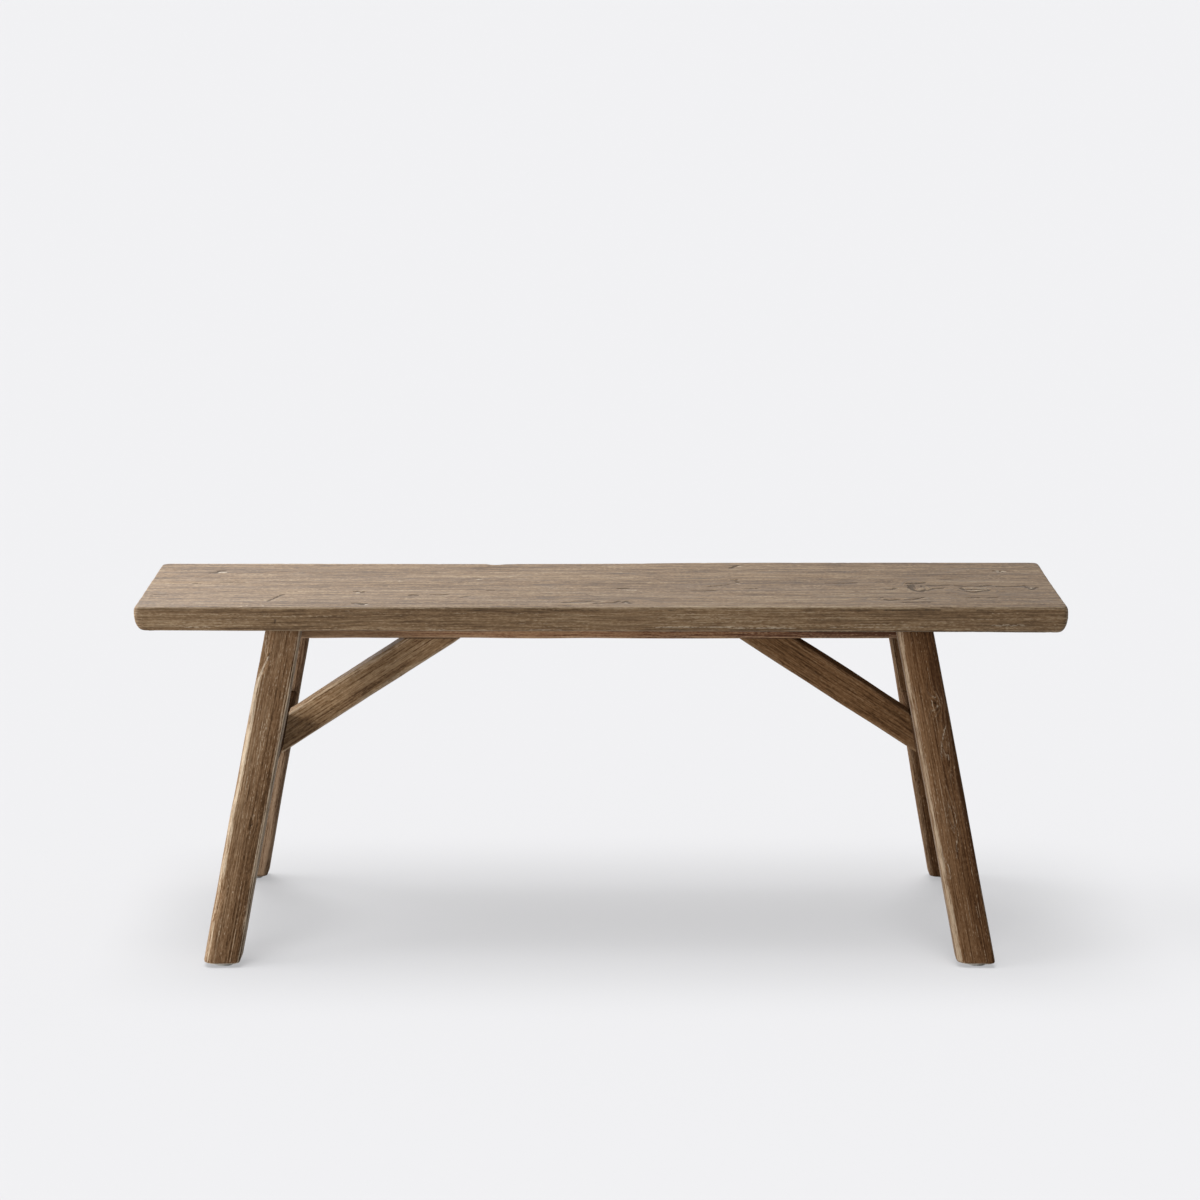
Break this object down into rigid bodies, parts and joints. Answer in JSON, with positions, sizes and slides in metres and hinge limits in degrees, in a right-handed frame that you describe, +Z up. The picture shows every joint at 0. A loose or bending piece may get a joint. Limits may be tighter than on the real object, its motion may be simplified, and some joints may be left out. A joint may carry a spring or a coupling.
{
  "type": "bed-end bench",
  "caption": "Low wooden bench: a thick plank seat on splayed square legs, with diagonal braces up to a rail under the seat.",
  "frame": {"origin": "on the floor under the middle of the seat", "axes": "+X along the bench to its right end, +Y to its rear, +Z up"},
  "size_m": [1.195, 0.5286, 0.452],
  "materials": {
    "seat_wood": "brushed, satin, weathered brown",
    "leg_wood": "brushed, satin, mid brown",
    "rail_wood": "planed, satin, red-brown",
    "brace_wood": "brushed, satin, mid brown",
    "glide_nylon": "matt moulded nylon",
    "screw_steel": "zinc plated",
    "nail_steel": "bright steel"
  },
  "bodies": {
    "root": {"seat_plank": "seat_wood", "front_left_leg": "leg_wood", "front_right_leg": "leg_wood", "rear_left_leg": "leg_wood", "rear_right_leg": "leg_wood", "left_top_rail": "rail_wood", "right_top_rail": "rail_wood", "left_stretcher": "rail_wood", "right_stretcher": "rail_wood", "centre_rail": "rail_wood", "left_brace": "brace_wood", "right_brace": "brace_wood", "front_left_glide": "glide_nylon", "front_right_glide": "glide_nylon", "rear_left_glide": "glide_nylon", "rear_right_glide": "glide_nylon", "front_left_glide_nail": "nail_steel", "front_right_glide_nail": "nail_steel", "rear_left_glide_nail": "nail_steel", "rear_right_glide_nail": "nail_steel", "front_left_seat_screw": "screw_steel", "front_right_seat_screw": "screw_steel", "rear_left_seat_screw": "screw_steel", "rear_right_seat_screw": "screw_steel", "middle_seat_screw": "screw_steel", "left_rail_screw": "screw_steel", "right_rail_screw": "screw_steel"}
  },
  "joints": []
}
